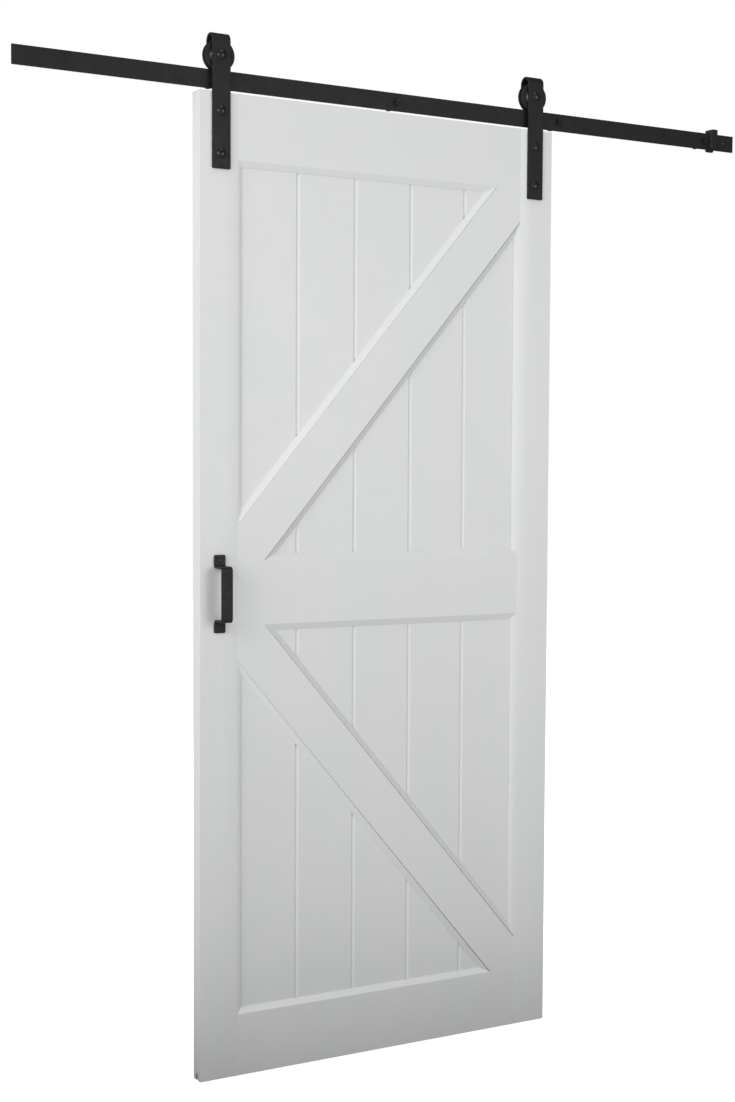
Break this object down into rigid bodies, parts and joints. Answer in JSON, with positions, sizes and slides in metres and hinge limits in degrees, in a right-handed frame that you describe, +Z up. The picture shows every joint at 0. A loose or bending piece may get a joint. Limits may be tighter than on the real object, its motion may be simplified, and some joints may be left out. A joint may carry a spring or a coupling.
{
  "type": "sliding barn door",
  "caption": "Framed and braced door slab that slides on a flat overhead track, hung by two strap hangers with grooved wheels, with a pull handle and an end stop.",
  "frame": {"origin": "on the wall plane, in the middle of the row of four track bolts", "axes": "+X along the track to the right as seen from the room, +Y into the wall, +Z up"},
  "size_m": [1.889, 0.133, 2.2583],
  "materials": {
    "white_paint": "satin paint over wood",
    "bare_wood": "bare",
    "black_steel": "matte black powder coat",
    "zinc_steel": "bright zinc",
    "black_rubber": "matte"
  },
  "bodies": {
    "track": {"track_rail": "black_steel", "rail_spacers": "black_steel", "rail_lag_bolts": "black_steel", "rail_washers": "black_steel", "end_stop_body": "black_steel", "end_stop_set_screws": "zinc_steel", "end_stop_bumper": "black_rubber"},
    "door": {"left_stile": "white_paint", "right_stile": "white_paint", "top_rail": "white_paint", "middle_rail": "white_paint", "bottom_rail": "white_paint", "upper_panel": "white_paint", "lower_panel": "white_paint", "upper_brace": "white_paint", "lower_brace": "white_paint", "frame_dowels": "bare_wood", "left_hanger_strap": "black_steel", "right_hanger_strap": "black_steel", "strap_bolts": "black_steel", "strap_washers": "zinc_steel", "strap_nuts": "zinc_steel", "left_axle_bolt": "black_steel", "right_axle_bolt": "black_steel", "axle_sleeves": "zinc_steel", "axle_nuts": "black_steel", "pull_handle": "black_steel", "handle_screws": "black_steel"},
    "left_wheel": {"left_wheel": "black_steel", "left_wheel_bearing": "zinc_steel"},
    "right_wheel": {"right_wheel": "black_steel", "right_wheel_bearing": "zinc_steel"}
  },
  "joints": [
    {"name": "door_slide", "type": "slide", "parent": "track", "child": "door", "axis": [1, 0, 0], "range_m": [-0.42, 0.513]},
    {"name": "left_wheel_spin", "type": "hinge", "parent": "door", "child": "left_wheel", "pos_m": [-0.665, -0.035, 0.0503], "axis": [0, 1, 0], "continuous": true},
    {"name": "right_wheel_spin", "type": "hinge", "parent": "door", "child": "right_wheel", "pos_m": [0.149, -0.035, 0.0503], "axis": [0, 1, 0], "continuous": true}
  ],
  "couplings": [
    {"joint": "left_wheel_spin", "follows": "door_slide", "rad_per_m": 33.333},
    {"joint": "right_wheel_spin", "follows": "door_slide", "rad_per_m": 33.333}
  ]
}
